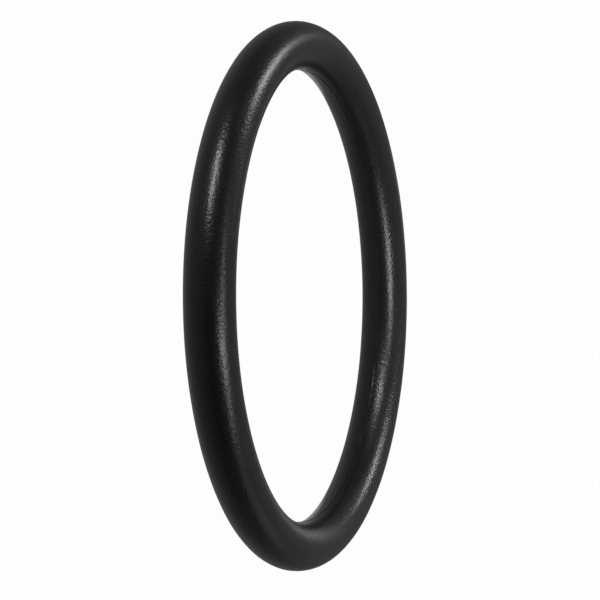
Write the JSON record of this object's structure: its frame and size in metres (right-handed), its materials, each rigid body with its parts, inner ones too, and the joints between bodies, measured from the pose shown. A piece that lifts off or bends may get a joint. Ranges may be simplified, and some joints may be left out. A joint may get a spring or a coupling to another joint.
{
  "type": "rubber o-ring",
  "caption": "Moulded black rubber o-ring of round section, lying flat, for sealing a shaft, a bore or a flat joint.",
  "frame": {"origin": "centre of the ring, on its axis and halfway up its section", "axes": "+Z along the ring's axis, straight up from the surface it lies on"},
  "size_m": [0.056, 0.056, 0.005],
  "materials": {
    "ring_rubber": "satin, with the fine grain of a blasted mould"
  },
  "bodies": {
    "root": {"o_ring": "ring_rubber"}
  },
  "joints": []
}
